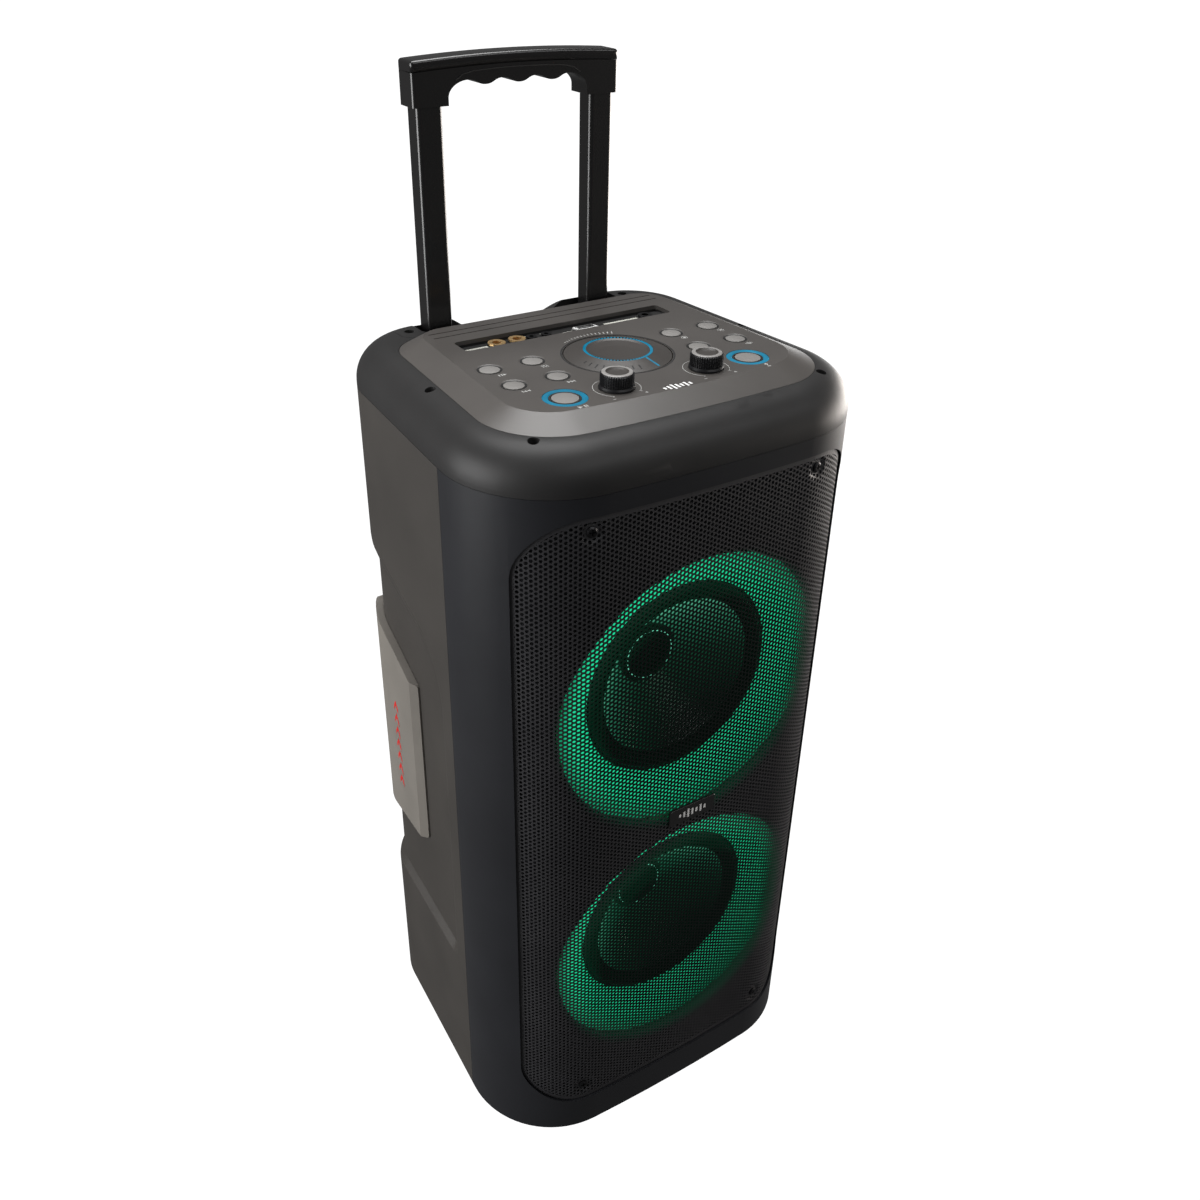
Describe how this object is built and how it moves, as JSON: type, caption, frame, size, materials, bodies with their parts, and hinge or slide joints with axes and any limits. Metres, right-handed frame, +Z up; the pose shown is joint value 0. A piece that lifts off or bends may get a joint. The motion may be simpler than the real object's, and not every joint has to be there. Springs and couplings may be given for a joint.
{
  "type": "party speaker",
  "caption": "Tall trolley party speaker with two lit woofers behind a curved grille, a raised control panel on top, a telescopic pull handle and two rear wheels.",
  "frame": {"origin": "on the floor under the middle of the overall footprint", "axes": "+Z up, -Y out of the speaker grille, +X to the right as seen by someone facing the grille"},
  "size_m": [0.3144, 0.3, 0.8335],
  "materials": {
    "front_plastic": "fine texture",
    "shell_plastic": "fine texture",
    "cap_plastic": "fine texture",
    "panel_plastic": "satin",
    "grille_steel": "powder coated",
    "badge_plastic": "gloss",
    "plate_plastic": "satin",
    "baffle_board": "painted black",
    "light_diffuser": "frosted",
    "circuit_board": "solder mask",
    "basket_steel": "satin",
    "magnet_iron": "plain",
    "cone_paper": "matt",
    "dust_cap_film": "gloss",
    "surround_rubber": "matt",
    "button_plastic": "satin",
    "blue_light": "frosted",
    "knob_plastic": "knurled",
    "dial_plastic": "satin",
    "brass": "polished",
    "socket_metal": "satin",
    "part_metal": "plain",
    "screw_steel": "black zinc",
    "pole_metal": "black anodised",
    "guide_plastic": "plain",
    "grip_plastic": "gloss",
    "battery_wrap": "shrink sleeve",
    "hub_plastic": "satin",
    "tyre_rubber": "matt",
    "axle_steel": "plain",
    "foot_rubber": "matt",
    "port_plastic": "satin"
  },
  "bodies": {
    "cabinet": {"front_frame": "front_plastic", "rear_shell": "shell_plastic", "bottom_plate": "shell_plastic", "top_cap": "cap_plastic", "handle_cover": "cap_plastic", "control_panel": "panel_plastic", "speaker_grille": "grille_steel", "grille_badge": "badge_plastic", "grille_screws": "screw_steel", "cap_screws": "screw_steel", "back_screws": "screw_steel", "baffle": "baffle_board", "light_rings": "light_diffuser", "led_boards": "circuit_board", "woofer_baskets": "basket_steel", "woofer_magnets": "magnet_iron", "surround_upper": "surround_rubber", "surround_lower": "surround_rubber", "side_plate_left": "plate_plastic", "side_plate_right": "plate_plastic", "port_panel": "front_plastic", "microphone_jacks": "brass", "small_sockets": "socket_metal", "button_light_rings": "blue_light", "control_board": "circuit_board", "rotary_controls": "part_metal", "amplifier_board": "circuit_board", "power_supply": "circuit_board", "battery_pack": "battery_wrap", "handle_guides": "guide_plastic", "wheel_axle": "axle_steel", "rubber_feet": "foot_rubber", "bass_port": "port_plastic", "mains_inlet": "port_plastic", "inlet_pins": "socket_metal"},
    "handle": {"grip_upper": "grip_plastic", "grip_lower": "grip_plastic", "handle_poles": "pole_metal"},
    "volume": {"volume_knob": "dial_plastic", "volume_light_ring": "blue_light"},
    "bass": {"bass_knob": "knob_plastic"},
    "treble": {"treble_knob": "knob_plastic"},
    "wheel_left": {"wheel_hub_left": "hub_plastic", "tyre_left": "tyre_rubber"},
    "wheel_right": {"wheel_hub_right": "hub_plastic", "tyre_right": "tyre_rubber"},
    "upper_cone": {"cone_upper": "cone_paper", "dust_cap_upper": "dust_cap_film"},
    "lower_cone": {"cone_lower": "cone_paper", "dust_cap_lower": "dust_cap_film"},
    "mode_button": {"mode_button": "button_plastic"},
    "equaliser_button": {"equaliser_button": "button_plastic"},
    "previous_button": {"previous_button": "button_plastic"},
    "next_button": {"next_button": "button_plastic"},
    "record_button": {"record_button": "button_plastic"},
    "lights_button": {"lights_button": "button_plastic"},
    "echo_button": {"echo_button": "button_plastic"},
    "voice_button": {"voice_button": "button_plastic"},
    "play_button": {"play_button": "button_plastic"},
    "microphone_button": {"microphone_button": "button_plastic"}
  },
  "joints": [
    {"name": "handle_slide", "type": "slide", "parent": "cabinet", "child": "handle", "axis": [0, 0, 1], "range_m": [-0.183, 0]},
    {"name": "volume_turn", "type": "hinge", "parent": "cabinet", "child": "volume", "pos_m": [0, -0.0305, 0.655], "axis": [0, 0, 1], "continuous": true},
    {"name": "bass_turn", "type": "hinge", "parent": "cabinet", "child": "bass", "pos_m": [-0.0365, -0.084, 0.655], "axis": [0, 0, 1], "range_deg": [-150, 150]},
    {"name": "treble_turn", "type": "hinge", "parent": "cabinet", "child": "treble", "pos_m": [0.0365, -0.084, 0.655], "axis": [0, 0, 1], "range_deg": [-150, 150]},
    {"name": "wheel_left_spin", "type": "hinge", "parent": "cabinet", "child": "wheel_left", "pos_m": [-0.095, 0.118, 0.032], "axis": [1, 0, 0], "continuous": true},
    {"name": "wheel_right_spin", "type": "hinge", "parent": "cabinet", "child": "wheel_right", "pos_m": [0.095, 0.118, 0.032], "axis": [1, 0, 0], "continuous": true},
    {"name": "cone_upper_stroke", "type": "slide", "parent": "cabinet", "child": "upper_cone", "axis": [0, -1, 0], "range_m": [-0.004, 0.004], "stiffness_N_per_m": 1500, "deforming": ["surround_upper"]},
    {"name": "cone_lower_stroke", "type": "slide", "parent": "cabinet", "child": "lower_cone", "axis": [0, -1, 0], "range_m": [-0.004, 0.004], "stiffness_N_per_m": 1500, "deforming": ["surround_lower"]},
    {"name": "mode_button_press", "type": "slide", "parent": "cabinet", "child": "mode_button", "axis": [0, 0, -1], "range_m": [0, 0.0013], "stiffness_N_per_m": 600},
    {"name": "equaliser_button_press", "type": "slide", "parent": "cabinet", "child": "equaliser_button", "axis": [0, 0, -1], "range_m": [0, 0.0013], "stiffness_N_per_m": 600},
    {"name": "previous_button_press", "type": "slide", "parent": "cabinet", "child": "previous_button", "axis": [0, 0, -1], "range_m": [0, 0.0013], "stiffness_N_per_m": 600},
    {"name": "next_button_press", "type": "slide", "parent": "cabinet", "child": "next_button", "axis": [0, 0, -1], "range_m": [0, 0.0013], "stiffness_N_per_m": 600},
    {"name": "record_button_press", "type": "slide", "parent": "cabinet", "child": "record_button", "axis": [0, 0, -1], "range_m": [0, 0.0013], "stiffness_N_per_m": 600},
    {"name": "lights_button_press", "type": "slide", "parent": "cabinet", "child": "lights_button", "axis": [0, 0, -1], "range_m": [0, 0.0013], "stiffness_N_per_m": 600},
    {"name": "echo_button_press", "type": "slide", "parent": "cabinet", "child": "echo_button", "axis": [0, 0, -1], "range_m": [0, 0.0013], "stiffness_N_per_m": 600},
    {"name": "voice_button_press", "type": "slide", "parent": "cabinet", "child": "voice_button", "axis": [0, 0, -1], "range_m": [0, 0.0013], "stiffness_N_per_m": 600},
    {"name": "play_button_press", "type": "slide", "parent": "cabinet", "child": "play_button", "axis": [0, 0, -1], "range_m": [0, 0.0013], "stiffness_N_per_m": 600},
    {"name": "microphone_button_press", "type": "slide", "parent": "cabinet", "child": "microphone_button", "axis": [0, 0, -1], "range_m": [0, 0.0013], "stiffness_N_per_m": 600}
  ]
}
